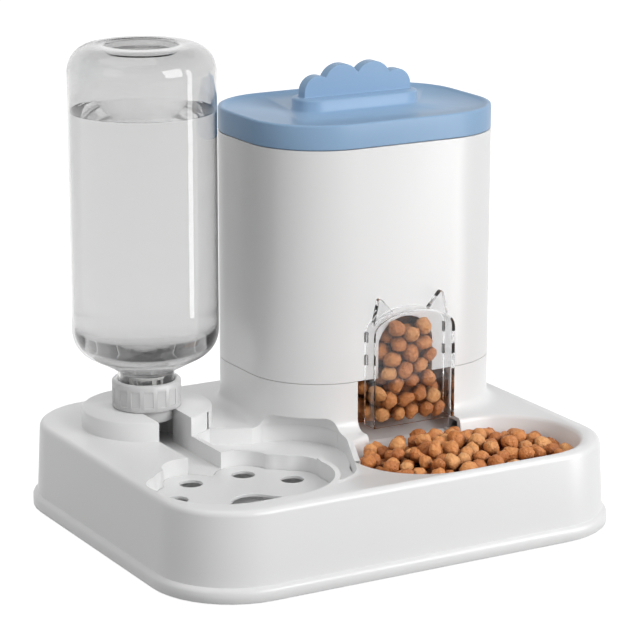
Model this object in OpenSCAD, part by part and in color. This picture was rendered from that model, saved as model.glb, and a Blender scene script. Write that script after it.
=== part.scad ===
// Gravity feeder for a cat or a small dog: one tray with a food bowl under a dry food bin,
// and a paw-shaped drinking pool fed by a bottle that stands upside down in a slotted seat.
// Millimetres, +Z up, the tray's long side along X, the bowls at the front towards -Y.
// The origin is the middle of the footprint, on the floor.

/* [Tray] */
// Width of the tray over its foot flange
tray_w = 300; // [290:1:330]
// Depth of the tray over its foot flange
tray_d = 254; // [246:1:280]
// Corner radius of the foot flange in plan
tray_corner_r = 51; // [46:1:54]
// Height of the deck above the floor
deck_h = 53.5; // [50:0.5:60]
// Wall thickness of the mouldings
wall = 2.4; // [2:0.1:3]
// Height of the foot flange
flange_h = 8; // [5:0.5:11]
// How far the flange stands out past the foot of the wall
flange_out = 3; // [2:0.5:4]
// Draft of the outer wall, per side
draft = 2.2; // [1:0.1:3]
// Radius of the rounded edge round the deck
deck_edge_r = 3.6; // [2:0.2:5]
// Diameter of a rubber foot
foot_d = 16; // [12:1:20]
// How far a rubber foot stands below the tray
foot_stand = 1.2; // [0.6:0.1:2.5]

/* [Food bowl] */
// Length of the bowl along X, at the deck
bowl_w = 150; // [140:1:154]
// Gap between the bowl and the front wall of the bin's stub
bowl_gap = 10.3; // [9:0.1:13]
// Distance from the tray's front edge to the bowl
bowl_front_in = 11; // [10:0.5:14]
// Depth of the bowl below the deck
bowl_depth = 34; // [26:1:36]
// Radius where the bowl's wall meets its floor
bowl_floor_r = 12; // [8:1:16]
// Width of the chute that feeds the bowl
chute_w = 58; // [54:1:62]
// Depth of the chute's lip below the deck
chute_drop = 10; // [7:0.5:14]

/* [Drinking pool] */
// Depth of the channel and the pool's upper step below the deck
channel_depth = 10; // [8:0.5:12]
// Width of the channel between the bottle seat and the pool
channel_w = 21.6; // [18:0.2:24]
// Depth of the basin under the paw plate
basin_depth = 19; // [12:1:22]
// Radius of a toe lobe in the pool's outline
toe_lobe_r = 17; // [15:0.5:18]
// Radius of the circle that the toes lie on
toe_ring_r = 40.5; // [39:0.5:41]
// Thickness of the dam round the pool
dam_t = 3; // [2.4:0.1:4]
// Radius of a toe hole in the paw plate
toe_hole_r = 6.8; // [5:0.2:8]
// Thickness of the paw plate
plate_t = 2; // [1.6:0.1:3]
// Distance from the tray's left edge to the axis of the pool and the bottle
pool_side_in = 64; // [62:0.5:68]
// Distance from the tray's front edge to the middle of the paw
paw_front_in = 57; // [55:0.5:60]
// Distance from the tray's back edge to the bottle's axis
seat_back_in = 69; // [64:0.5:72]

/* [Food bin] */
// Width of the bin and of its stub on the tray
bin_w = 161.4; // [156:0.2:164]
// Depth of the bin and of its stub
bin_d = 122; // [118:1:124]
// Corner radius of the bin in plan
bin_corner_r = 46; // [42:1:48]
// Distance from the tray's right edge to the bin
bin_side_in = 18.3; // [17:0.1:22]
// Distance from the tray's back edge to the bin
bin_back_in = 22.7; // [21:0.1:26]
// Height of the seam between the stub and the bin
seam_h = 83.5; // [80:0.5:88]
// Height of the bin's upper edge, where the lid's skirt meets it
bin_top_h = 225.6; // [200:0.2:240]
// Width of the arched outlet in the bin's front wall
outlet_w = 38; // [34:1:42]
// Height of the outlet's crown above the seam
outlet_rise = 37; // [32:1:40]

/* [Outlet cover] */
// Width of the clear cover in front of the outlet
cover_w = 57; // [54:0.5:60]
// How far the cover stands out from the bin
cover_out = 11.4; // [10:0.2:13]
// Wall thickness of the cover
cover_t = 1.6; // [1.2:0.1:2.2]
// Height of the cover's crown above the seam
cover_rise = 43.5; // [40:0.5:48]
// Gap between the cover's lower edge and the deck
cover_gap = 2.6; // [2:0.1:5]

/* [Lid] */
// Height of the lid's skirt
lid_skirt_h = 15.2; // [13:0.2:18]
// Thickness of the lid's skirt and top
lid_t = 2.2; // [1.8:0.1:3]
// Height of the raised plinth in the lid
plinth_h = 8; // [6:0.5:10]
// Height of the cloud handle above the plinth
cloud_h = 19; // [16:0.5:24]
// Thickness of the cloud handle
cloud_t = 8; // [6:0.5:10]

/* [Bottle] */
// Outer radius of the bottle
bottle_r = 44.2; // [38:0.2:45]
// Height of the bottle's shoulder, where its straight wall starts
bottle_low_h = 112; // [108:1:116]
// Height of the bottle's flat end above the floor
bottle_top_h = 286; // [240:1:300]
// Wall thickness of the bottle
bottle_t = 1.1; // [0.9:0.1:1.6]
// Outer radius of the bottle's neck
neck_r = 17.2; // [16.4:0.1:17.4]
// Height of the air between the water and the bottle's flat end
air_h = 39; // [24:1:100]

/* [Cap and seat] */
// Outer radius of the cap's skirt
cap_r = 21; // [20.6:0.1:22]
// Outer radius of the collar that stands in the seat
collar_r = 16.8; // [16:0.1:17.4]
// Outer radius of the seat ring on the deck
seat_r = 39.5; // [36:0.5:41]
// Height of the seat ring above the deck
seat_h = 11.6; // [9:0.2:13]
// Running clearance round the collar
seat_clearance = 0.35; // [0.3:0.05:0.6]
// Travel of the valve between open and shut
valve_travel = 3; // [2:0.1:3.4]

/* [Hidden] */
$fn = 72;

// Small values shared by the whole model
eps = 0.01;
gap = 0.3;
corner_steps = 10;

// Tray: levels and half sizes
tray_low = foot_stand;
wall_foot_w = tray_w - 2 * flange_out;
wall_foot_d = tray_d - 2 * flange_out;
wall_foot_r = tray_corner_r - flange_out;
deck_w = wall_foot_w - 2 * draft;
deck_d = wall_foot_d - 2 * draft;
deck_r = wall_foot_r - draft;
channel_z = deck_h - channel_depth;
bowl_z = deck_h - bowl_depth;
basin_z = channel_z - basin_depth;

// Bin and stub: the plan position, from the tray's right and back edges
bin_x = tray_w / 2 - bin_side_in - bin_w / 2;
bin_y = tray_d / 2 - bin_back_in - bin_d / 2;
front_y = bin_y - bin_d / 2;

// Food bowl: it takes the room between the tray's front edge and the stub
bowl_x = bin_x + 9;
bowl_d = front_y - bowl_gap + tray_d / 2 - bowl_front_in;
bowl_y = -tray_d / 2 + bowl_front_in + bowl_d / 2;
bowl_r = bowl_d / 2;

// Width of the stub's opening under the outlet
outlet_base_w = cover_w + 9;

// Cover hooks: section and heights above the seam
hook_w = 2.4;
hook_h = 6;
hook_levels = [10, 24];

// Lid: depth of the dish in its top, and the height of its flat underside
lid_dish = 1.6;
lid_top_h = bin_top_h + lid_skirt_h;
lid_under_h = lid_top_h - lid_t - lid_dish;

// Food: the size of one piece, and the level in the bin and in the bowl
kibble_d = 10.4;
bin_air_h = 80;
bin_food_h = bin_top_h - bin_air_h;
bowl_food_h = deck_h - 9;

// Pool: everything on the water side lines up on one axis
pool_x = -tray_w / 2 + pool_side_in;
seat_y = tray_d / 2 - seat_back_in;
paw_y = -tray_d / 2 + paw_front_in;
palm_r = 41;
palm_half = 13;
palm_y = paw_y + 4;
toe_angles = [21.5, 65, 115, 158.5];
niche_r = 35.6;
niche_x = pool_x + 55;
niche_y = paw_y + 51;
niche_h = 9;
step_end_in = 15;
step_end_r = 29;
slant_pool_y = niche_y + 62;
slant_niche_y = niche_y + 31;
lip_h = 4;
plate_ledge = 3;

// Bottle: the water's level
water_h = bottle_top_h - air_h;

// Cap and valve: heights from the seat's top
seat_top = deck_h + seat_h;
cap_low = seat_top + gap;
cap_top = cap_low + 16.8;
collar_low = seat_top - 7.7;
cap_floor_low = cap_low - 2;
cap_floor_t = 2.4;
cap_floor_top = cap_floor_low + cap_floor_t;
collar_bore_r = collar_r - 2;
nozzle_low = deck_h - 4;
nozzle_r = 8;
valve_hole_r = 4.6;
stem_r = 2.2;
head_r = 7.6;
seal_t = 1.4;
head_t = 2;
head_low = cap_floor_top + valve_travel + seal_t;
cage_top = head_low + head_t + 12;
post_top = collar_low + 3;
washer_t = 1.2;
washer_low = cap_floor_top + 1.3;
mouth_h = washer_low + washer_t;

function shift(points, z) = [for (p = points) [p[0], p[1], z]];

// Corner points of a rounded rectangle, counter-clockwise, always the same number
function rounded_points(w, d, r, x = 0, y = 0) = [
    for (k = [0 : 3], i = [0 : corner_steps])
        let (
            a = 180 + 90 * k + 90 * i / corner_steps,
            cx = (k == 0 || k == 3 ? -1 : 1) * (w / 2 - r),
            cy = (k < 2 ? -1 : 1) * (d / 2 - r)
        )
        [x + cx + r * cos(a), y + cy + r * sin(a)]
];

// A smooth solid through a list of level rings with equal point counts
module loft(rings) {
    n = len(rings[0]);
    m = len(rings);
    polyhedron(
        points = [for (ring = rings, p = ring) p],
        faces = concat(
            [[for (i = [0 : n - 1]) i]],
            [for (k = [0 : m - 2], i = [0 : n - 1])
                let (a = k * n + i, b = k * n + (i + 1) % n)
                [a, a + n, b + n, b]],
            [[for (i = [n - 1 : -1 : 0]) (m - 1) * n + i]]
        ),
        convexity = 6
    );
}

// Outline of a belt round two circles, counter-clockwise
function belt_points(c1, r1, c2, r2, steps = 24) =
    let (
        span = c2 - c1,
        base = atan2(span[1], span[0]),
        off = acos((r1 - r2) / norm(span))
    )
    concat(
        [for (i = [0 : steps]) let (a = base + off + (360 - 2 * off) * i / steps)
            c1 + r1 * [cos(a), sin(a)]],
        [for (i = [0 : steps]) let (a = base - off + 2 * off * i / steps)
            c2 + r2 * [cos(a), sin(a)]]
    );

module rounded_plate(w, d, r, z, h, x = 0, y = 0) {
    translate([0, 0, z]) linear_extrude(h) polygon(rounded_points(w, d, r, x, y));
}

// Outer form of the tray: foot flange, drafted wall and a rounded edge at the deck
function tray_ring(inset, z) =
    shift(rounded_points(wall_foot_w - 2 * inset, wall_foot_d - 2 * inset, wall_foot_r - inset), z);

function wall_inset(z) = draft * (z - tray_low - flange_h) / (deck_h - tray_low - flange_h);

module tray_outside() {
    flange_top = tray_low + flange_h;
    edge_low = deck_h - deck_edge_r;
    loft(concat(
        [tray_ring(-flange_out + 0.6, tray_low), tray_ring(-flange_out, tray_low + 0.6)],
        [tray_ring(-flange_out, flange_top - 2)],
        [tray_ring(-flange_out + 0.8, flange_top - 0.6), tray_ring(-flange_out + 2, flange_top)],
        [tray_ring(0, flange_top + 0.6)],
        [for (a = [0 : 22.5 : 90])
            tray_ring(wall_inset(edge_low) + deck_edge_r * (1 - cos(a)),
                edge_low + deck_edge_r * sin(a))]
    ));
}

// Hollow under the tray, open to the floor
module tray_inside() {
    loft([
        tray_ring(wall, tray_low - 1),
        tray_ring(wall + wall_inset(deck_h - wall - 4), deck_h - wall - 4),
        tray_ring(wall + draft + 4, deck_h - wall)
    ]);
}

// Bowl of dry food: a stadium with drafted walls and a wide floor radius
module bowl_form(grow, top) {
    function bowl_ring(inset, z) = shift(
        rounded_points(bowl_w + 2 * (grow - inset), bowl_d + 2 * (grow - inset),
            bowl_r + grow - inset - 1, bowl_x, bowl_y), z);
    loft(concat(
        [for (a = [90 : -22.5 : 0])
            bowl_ring(4 + bowl_floor_r * (1 - cos(a)),
                bowl_z - grow + bowl_floor_r * (1 - sin(a)))],
        grow > 0
            ? [bowl_ring(0, top)]
            : [bowl_ring(1.6, deck_h - 3), bowl_ring(0.7, deck_h - 1), bowl_ring(-0.6, deck_h),
                bowl_ring(-0.6, top)]
    ));
}

// Chute between the bin's stub and the bowl; its floor falls towards the bowl
module chute_form(grow, top) {
    lip_z = deck_h - chute_drop - grow;
    translate([bin_x - chute_w / 2 - grow, 0, 0])
        rotate([90, 0, 90])
            linear_extrude(chute_w + 2 * grow)
                polygon([
                    [front_y + 12, lip_z + 4],
                    [front_y - 4, lip_z],
                    [bowl_y + 14, lip_z - 16],
                    [bowl_y + 14, top],
                    [front_y + 12, top]
                ]);
}

// Funnel inside the stub, from the bin's mouth down to the chute
module funnel_form(grow, mouth_in) {
    hull() {
        rounded_plate(bin_w - 2 * mouth_in, bin_d - 2 * mouth_in, bin_corner_r - mouth_in,
            seam_h - lip_h - 2, 1, bin_x, bin_y);
        translate([bin_x - chute_w / 2 - grow, front_y + wall / 2, deck_h - chute_drop - grow])
            cube([chute_w + 2 * grow, 6, 2]);
        translate([bin_x - chute_w / 4 - grow, bin_y, deck_h + 8 - grow])
            cube([chute_w / 2 + 2 * grow, 12, 2]);
    }
}

// Stub that carries the bin, with a soft flare where it leaves the deck
module stub_outside() {
    flare = 7;
    function stub_ring(out, z) =
        shift(rounded_points(bin_w + 2 * out, bin_d + 2 * out, bin_corner_r + out, bin_x, bin_y), z);
    loft(concat(
        [for (a = [0 : 22.5 : 90])
            stub_ring(flare * (1 - sin(a)), deck_h + flare * (1 - cos(a)))],
        [stub_ring(0, seam_h)]
    ));
}

// Plan outlines on the water side
module toes(r) {
    for (a = toe_angles)
        translate([pool_x + toe_ring_r * cos(a), paw_y + toe_ring_r * sin(a)]) circle(r);
}

module palm(grow) {
    polygon(belt_points([pool_x - palm_half, palm_y], palm_r + grow,
        [pool_x + palm_half, palm_y], palm_r + grow));
}

module paw_outline(grow = 0) {
    toes(toe_lobe_r + grow);
    palm(grow);
}

module channel_outline(grow = 0) {
    translate([pool_x - channel_w / 2 - grow, paw_y + 30])
        square([channel_w + 2 * grow, seat_y - paw_y - 30]);
}

// Drip step beside the pool: a slanted back wall, the round niche and the right end
module step_outline(grow = 0) {
    difference() {
        union() {
            polygon(belt_points([niche_x, niche_y], niche_r + grow,
                [niche_x - step_end_in, palm_y - 2], step_end_r + grow));
            polygon([
                [pool_x, slant_pool_y + grow * 1.2],
                [niche_x + 2, slant_niche_y + grow * 1.2],
                [niche_x, paw_y],
                [pool_x, paw_y]
            ]);
        }
        translate([pool_x, seat_y]) circle(seat_r + 0.8 - grow);
    }
}

module pool_cut() {
    translate([0, 0, channel_z - plate_t]) linear_extrude(deck_h) paw_outline();
    translate([0, 0, channel_z]) linear_extrude(deck_h) channel_outline();
    translate([0, 0, channel_z]) linear_extrude(channel_depth + 1) difference() {
        step_outline();
        paw_outline(dam_t);
        channel_outline(dam_t);
    }
    translate([0, 0, basin_z])
        linear_extrude(basin_depth - plate_t / 2) paw_outline(-plate_ledge);
}

// Scoop that the pool cuts into the foot of the stub, for the animal's head; grown, it is the
// outside of the wall that closes the stub behind it
module niche_scoop(grow = 0) {
    top_r = 7 + grow;
    scoop_r = niche_r - 0.3 + grow;
    top = niche_h + 1 + grow;
    translate([niche_x, niche_y, deck_h - 1]) rotate_extrude()
        polygon(concat(
            [[0, 0], [scoop_r, 0]],
            [for (a = [0 : 15 : 90])
                [scoop_r - top_r * (1 - cos(a)), top - top_r + top_r * sin(a)]],
            [[0, top]]
        ));
}

module seat_block() {
    edge = 1;
    translate([pool_x, seat_y, 0]) rotate_extrude() polygon([
        [0, channel_z - wall],
        [seat_r, channel_z - wall],
        [seat_r, seat_top - edge],
        [seat_r - edge, seat_top],
        [0, seat_top]
    ]);
}

module seat_cut() {
    bore_r = collar_r + seat_clearance;
    translate([pool_x, seat_y, channel_z]) cylinder(r = bore_r, h = seat_top);
    translate([pool_x - channel_w / 2, seat_y - seat_r - 1, channel_z])
        cube([channel_w, seat_r + 1, seat_top]);
}

// Hollow of the seat ring, open below; the channel's walls stay
module seat_hollow() {
    inner_r = collar_r + seat_clearance + wall;
    low = channel_z - wall - 1;
    translate([pool_x, seat_y, low]) difference() {
        cylinder(r = seat_r - wall, h = seat_top - wall - low);
        translate([0, 0, -1]) cylinder(r = inner_r, h = seat_top);
        translate([-channel_w / 2 - wall, -seat_r, -1])
            cube([channel_w + 2 * wall, seat_r, seat_top]);
    }
}

// Ribs that stiffen the deck from below
module ribs() {
    rib_t = 1.8;
    rib_low = deck_h - 18;
    for (x = [-0.36, -0.12, 0.12, 0.36])
        translate([x * tray_w - rib_t / 2, -tray_d / 2, rib_low])
            cube([rib_t, tray_d, deck_h - rib_low - eps]);
    for (y = [-0.3, 0.02, 0.32])
        translate([-tray_w / 2, y * tray_d - rib_t / 2, rib_low])
            cube([tray_w, rib_t, deck_h - rib_low - eps]);
}

function foot_place(sx, sy) =
    [sx * (tray_w / 2 - tray_corner_r * 0.52), sy * (tray_d / 2 - tray_corner_r * 0.52)];

// Round bosses in the corners that carry the rubber feet
module foot_bosses() {
    for (sx = [-1, 1], sy = [-1, 1])
        translate(concat(foot_place(sx, sy), tray_low))
            cylinder(d = foot_d + 3, h = deck_h - tray_low - wall / 2);
}

module foot_sockets() {
    for (sx = [-1, 1], sy = [-1, 1])
        translate(concat(foot_place(sx, sy), tray_low - eps)) {
            cylinder(d = foot_d + 0.4, h = 2);
            cylinder(d = 6, h = 12);
        }
}

// Hollow of the stub, open below
module stub_inside() {
    rounded_plate(bin_w - 2 * wall, bin_d - 2 * wall, bin_corner_r - wall,
        deck_h - wall - 2, seam_h, bin_x, bin_y);
}

// Outer skin of the tray, hollow below
module tray_skin() {
    difference() {
        tray_outside();
        tray_inside();
        stub_inside();
    }
}

// Walls of the bowl, the chute, the pool and the funnel, as they hang below the deck
module hanging_walls() {
    join = deck_h - wall / 2;
    bowl_form(wall, join);
    chute_form(wall, join);
    funnel_form(wall, wall / 2);
    translate([0, 0, channel_z - plate_t - wall]) linear_extrude(join - channel_z + plate_t + wall) {
        paw_outline(wall);
        channel_outline(wall);
        step_outline(wall);
    }
    translate([0, 0, basin_z - wall]) linear_extrude(basin_depth) paw_outline(wall - plate_ledge);
    intersection() {
        tray_outside();
        ribs();
    }
    foot_bosses();
}

// Everything that the food and the water pass through, in the tray and in the stub
module passages() {
    bowl_form(0, seam_h + 20);
    funnel_form(0, wall);
    rounded_plate(bin_w - 2 * wall, bin_d - 2 * wall, bin_corner_r - wall,
        seam_h - lip_h - 1.5, seam_h, bin_x, bin_y);
    chute_form(0, deck_h + 1);
    translate([bin_x - outlet_base_w / 2, front_y - 20, deck_h - chute_drop + 2])
        cube([outlet_base_w, 26, seam_h]);
    pool_cut();
    niche_scoop();
}

// White moulding up to its deck, with a round hole for the bottle's seat
module tray() {
    color("white") difference() {
        union() {
            tray_skin();
            hanging_walls();
        }
        passages();
        translate([pool_x, seat_y, channel_z - wall]) cylinder(r = seat_r, h = seam_h);
        foot_sockets();
        translate([-tray_w, -tray_d, deck_h]) cube([2 * tray_w, 2 * tray_d, seam_h]);
    }
}

// Stub on the deck that carries the bin, with the funnel and the niche's wall inside
module bin_stub() {
    color("white") difference() {
        intersection() {
            stub_outside();
            union() {
                difference() {
                    stub_outside();
                    stub_inside();
                }
                funnel_form(wall, wall / 2);
                niche_scoop(wall);
            }
        }
        passages();
    }
}

// Seat of the bottle: a round cup in the deck, with a slot to the channel and the valve's post
module bottle_seat() {
    color("white") {
        difference() {
            seat_block();
            seat_cut();
            seat_hollow();
        }
        valve_post();
    }
}

// Post that lifts the valve's stem when the cap stands in the seat
module valve_post() {
    post_r = 3.2;
    translate([pool_x, seat_y, channel_z - eps]) {
        cylinder(r = post_r, h = post_top - channel_z - gap + eps, $fn = 32);
        for (a = [45 : 90 : 315])
            rotate(a) translate([0, -0.8, 0]) cube([7.5, 1.6, nozzle_low - channel_z - 1]);
    }
}

// Rubber feet with a round pad and a peg
module foot(sx, sy) {
    color("dimgray") translate(concat(foot_place(sx, sy), 0)) {
        cylinder(d = foot_d, h = foot_stand + 2 - gap);
        cylinder(d = 5.6, h = foot_stand + 10);
    }
}

module foot_front_left() { foot(-1, -1); }
module foot_front_right() { foot(1, -1); }
module foot_back_left() { foot(-1, 1); }
module foot_back_right() { foot(1, 1); }

// Insert with toe and pad holes that keeps the fur dry over the basin
module paw_plate() {
    pad_y = paw_y - 16;
    color("whitesmoke") difference() {
        translate([0, 0, channel_z - plate_t]) linear_extrude(plate_t) paw_outline(-gap);
        translate([pool_x, 0, channel_z - plate_t - 1]) {
            for (a = toe_angles)
                translate([toe_ring_r * cos(a), paw_y + toe_ring_r * sin(a), 0])
                    cylinder(r = toe_hole_r, h = plate_t + 2, $fn = 40);
            hull() {
                for (side = [-1, 1])
                    translate([side * 9, pad_y - 4, 0]) cylinder(r = 13, h = plate_t + 2, $fn = 40);
                translate([0, pad_y + 8, 0]) cylinder(r = 12, h = plate_t + 2, $fn = 40);
            }
        }
    }
}

// Outline of a three-centred arch that stands on z = 0
function arch_points(w, rise, corner_r) =
    let (
        half = w / 2,
        crown = corner_r * 1.5,
        spring = rise - crown,
        side = half - corner_r,
        top_r = (side * side + crown * crown - corner_r * corner_r) / (2 * (crown - corner_r)),
        turn = atan2(top_r - crown, side)
    )
    concat(
        [[half, 0]],
        [for (i = [0 : 6]) let (a = turn * i / 6)
            [side + corner_r * cos(a), spring + corner_r * sin(a)]],
        [for (i = [1 : 11]) let (a = turn + (180 - 2 * turn) * i / 12)
            [top_r * cos(a), spring + crown - top_r + top_r * sin(a)]],
        [for (i = [6 : -1 : 0]) let (a = turn * i / 6)
            [-side - corner_r * cos(a), spring + corner_r * sin(a)]],
        [[-half, 0]]
    );

// Turns an outline in X and Z into a plate with its front face at y
module front_plate(x, y, z, t) {
    translate([x, y + t, z]) rotate([90, 0, 0]) linear_extrude(t) children();
}

// Food bin: a straight shell with a lipped foot, a stepped neck for the lid and an arched outlet
module bin() {
    neck_in = lid_t + gap;
    color("white") difference() {
        union() {
            rounded_plate(bin_w, bin_d, bin_corner_r, seam_h + gap, bin_top_h - seam_h - gap,
                bin_x, bin_y);
            rounded_plate(bin_w - 2 * neck_in, bin_d - 2 * neck_in, bin_corner_r - neck_in,
                bin_top_h - eps, lid_under_h - gap - bin_top_h + eps, bin_x, bin_y);
            rounded_plate(bin_w - 2 * wall - 2 * gap, bin_d - 2 * wall - 2 * gap,
                bin_corner_r - wall - gap, seam_h - lip_h, lip_h + gap + eps, bin_x, bin_y);
        }
        rounded_plate(bin_w - 4 * wall, bin_d - 4 * wall, bin_corner_r - 2 * wall,
            seam_h - lip_h - 1, bin_top_h, bin_x, bin_y);
        rounded_plate(bin_w - 2 * wall, bin_d - 2 * wall, bin_corner_r - wall,
            seam_h + gap + wall, bin_top_h - seam_h - gap - 2 * wall, bin_x, bin_y);
        front_plate(bin_x, front_y - 1, seam_h - eps, 3 * wall)
            polygon(arch_points(outlet_w, outlet_rise, 11));
        translate([bin_x - outlet_base_w / 2, front_y - 1, seam_h - lip_h - 1])
            cube([outlet_base_w, 3 * wall, lip_h + 1]);
        cover_slots();
    }
}

// Slots in the bin's front wall, beside the outlet, for the cover's hooks
module cover_slots() {
    for (side = [-1, 1], level = hook_levels)
        translate([bin_x + side * (cover_w / 2 - hook_w / 2) - hook_w / 2 - gap / 2,
            front_y - 1, seam_h + level - gap / 2])
            cube([hook_w + gap, 2 * wall + 2, hook_h + gap]);
}

// Clear cover: a front plate, an arched rim back to the bin, hooks and two ears
module outlet_cover() {
    low = deck_h + cover_gap;
    rise = seam_h + cover_rise - low;
    cover_y = front_y - cover_out;
    rim_depth = cover_out - gap / 3;
    color([0.85, 0.9, 0.95, 0.4]) {
        difference() {
            union() {
                front_plate(bin_x, cover_y, low, rim_depth) polygon(arch_points(cover_w, rise, 10));
                cover_ears(cover_y, low, rise);
            }
            front_plate(bin_x, cover_y + cover_t, low - eps, rim_depth)
                polygon(arch_points(cover_w - 2 * cover_t, rise - cover_t, 10 - cover_t));
        }
        for (side = [-1, 1], level = hook_levels)
            translate([bin_x + side * (cover_w / 2 - hook_w / 2) - hook_w / 2,
                front_y - cover_t - gap, seam_h + level])
                cube([hook_w, cover_t + 2 * wall - gap, hook_h]);
    }
}

module cover_ears(cover_y, low, rise) {
    ear_t = 4;
    ear_h = 12;
    for (side = [-1, 1])
        front_plate(bin_x, cover_y + cover_out - ear_t - 3.4, low + rise, ear_t) polygon([
            [side * 10.5, -4],
            [side * 20.4, ear_h - 4.6],
            [side * 21.6, ear_h - 4.2],
            [side * 22.6, ear_h - 5],
            [side * 26, -8],
            [side * 22, -12]
        ]);
}

// Lid: a skirt over the bin's neck, a dished top with a raised rim, a plinth and a cloud handle
module lid() {
    top = lid_top_h;
    dish = lid_dish;
    rim_w = 3.4;
    edge = 1.2;
    function lid_ring(inset, z) =
        shift(rounded_points(bin_w - 2 * inset, bin_d - 2 * inset, bin_corner_r - inset,
            bin_x, bin_y), z);
    color("cornflowerblue") {
        difference() {
            loft([
                lid_ring(0, bin_top_h + gap),
                lid_ring(0, top - edge),
                lid_ring(edge * 0.3, top - edge * 0.3),
                lid_ring(edge, top)
            ]);
            loft([
                lid_ring(rim_w + 1.4, top - dish),
                lid_ring(rim_w, top - dish + 1),
                lid_ring(rim_w - 0.6, top + eps)
            ]);
            rounded_plate(bin_w - 2 * lid_t, bin_d - 2 * lid_t, bin_corner_r - lid_t,
                bin_top_h, lid_under_h - bin_top_h, bin_x, bin_y);
        }
        lid_plinth(top - dish);
        cloud_handle(top - dish + plinth_h);
    }
}

module lid_plinth(z) {
    plinth_w = 84;
    plinth_d = 28;
    edge = 1.4;
    function plinth_ring(inset, level) =
        shift(rounded_points(plinth_w - 2 * inset, plinth_d - 2 * inset,
            plinth_d / 2 - inset - 0.5, bin_x, bin_y), level);
    loft([
        plinth_ring(-1.2, z - eps),
        plinth_ring(0, z + 1.2),
        plinth_ring(0, z + plinth_h - edge),
        plinth_ring(edge * 0.3, z + plinth_h - edge * 0.3),
        plinth_ring(edge, z + plinth_h)
    ]);
}

module cloud_handle(z) {
    big_r = 13;
    small_r = 10;
    front_plate(bin_x, bin_y - cloud_t / 2, z, cloud_t) intersection() {
        union() {
            for (side = [-1, 1]) {
                translate([side * 10.8, cloud_h - big_r]) circle(big_r);
                translate([side * 27.5, cloud_h - 6 - small_r]) circle(small_r);
            }
            translate([-37.5, -1]) square([75, 4]);
        }
        translate([-37.5, -eps]) square([75, cloud_h + 1]);
    }
}

// One piece of dry food: a blunt lump between two offset balls
module kibble(place, d, turn) {
    translate(place) rotate(turn) hull() {
        translate([-d * 0.09, 0, d * 0.05]) sphere(d * 0.46, $fn = 6);
        translate([d * 0.1, d * 0.04, -d * 0.06]) sphere(d * 0.44, $fn = 6);
    }
}

function jitter(seed, count, size) = rands(-size, size, count, seed);

// Food in the bin, in the funnel and in the outlet behind the cover
module bin_food() {
    rows = 8;
    row_h = 8.2;
    first_row = deck_h + cover_gap + kibble_d * 0.5;
    side_gap = 1.5;
    crown = seam_h + outlet_rise;
    core_y = front_y + 2 * wall + 1;
    plug_gap = 1;
    plug_y = front_y + 0.5;
    color("chocolate") {
        intersection() {
            union() {
                rounded_plate(bin_w - 4 * wall - 2, bin_d - 4 * wall - 2, bin_corner_r - 2 * wall - 1,
                    seam_h - 3, bin_food_h - seam_h + 3, bin_x, bin_y);
                funnel_form(-1.2, wall + 1.5);
            }
            translate([bin_x - bin_w / 2, core_y, 0]) cube([bin_w, bin_d, bin_top_h]);
        }
        // Food in the outlet and in the stub's opening below it; the front rows stand in it
        front_plate(bin_x, plug_y, seam_h - 2, core_y - plug_y + 2)
            polygon(arch_points(outlet_w - 2 * plug_gap, outlet_rise + 2 - plug_gap, 11 - plug_gap));
        translate([bin_x - outlet_base_w / 2 + plug_gap, plug_y, first_row - 1])
            cube([outlet_base_w - 2 * plug_gap, core_y - plug_y + 2, seam_h - first_row]);
        for (row = [0 : rows])
            let (
                z = first_row + row * row_h,
                in_arch = z > seam_h - kibble_d * 0.6,
                half = (in_arch ? outlet_w : cover_w - 2 * cover_t) / 2 - side_gap
                    - (z > crown - 14 ? 5 : 0),
                count = floor(2 * half / kibble_d),
                step = 2 * half / count,
                dy = jitter(row + 3, count, 1),
                turn = jitter(row + 40, count, 180)
            )
            if (z < crown - kibble_d * 0.7)
                for (i = [0 : count - 1])
                    kibble([bin_x - half + step * (i + 0.5), front_y - (in_arch ? 1.2 : 1.8) + dy[i], z],
                        kibble_d, [turn[i], turn[i] / 2, 0]);
    }
}

// How far a place is from the straight line along the middle of the bowl
function from_bowl_line(x, y) =
    norm([max(abs(x - bowl_x) - (bowl_w / 2 - bowl_r), 0), y - bowl_y]);

// Heap of food in the bowl: highest in front of the chute, falling to the rim and to the right.
// Separate pieces stand half sunk in a smooth mound
module bowl_food() {
    pitch = kibble_d * 1.2;
    row_h = pitch * 0.88;
    peak = 12;
    heap_x = bin_x - 22;
    heap_y = bowl_y + 2;
    half_w = bowl_w * 0.62;
    half_d = bowl_d * 0.6;
    fall = 1.1;
    wall_room = kibble_d * 0.5 + 2.8;
    function mound_z(out) = bowl_food_h + peak * (1 - fall * out * out) - 2;
    color("chocolate") {
        intersection() {
            bowl_form(-0.6, deck_h + peak);
            loft([for (out = [1.8 : -0.3 : 0.3])
                shift(rounded_points(2 * half_w * out, 2 * half_d * out, half_d * out - 1,
                    heap_x, heap_y), out > 1.7 ? bowl_z - 1 : mound_z(out))]);
        }
        for (row = [-5 : 5], column = [-8 : 8])
            let (
                noise = rands(-1, 1, 5, 100 + row * 31 + column),
                x = bowl_x + (column + (row % 2 == 0 ? 0 : 0.5)) * pitch + noise[0] * 0.6,
                y = bowl_y + row * row_h + noise[1] * 0.6,
                out = norm([(x - heap_x) / half_w, (y - heap_y) / half_d])
            )
            if (from_bowl_line(x, y) < bowl_r - wall_room)
                kibble([x, y, mound_z(out) + 1.2 + noise[2]], kibble_d,
                    [noise[3] * 180, noise[4] * 90, 0]);
    }
}

// Points of a quarter round from angle a0 to a1 about a centre
function arc_points(cx, cy, r, a0, a1, steps) =
    [for (i = [0 : steps]) let (a = a0 + (a1 - a0) * i / steps) [cx + r * cos(a), cy + r * sin(a)]];

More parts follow.
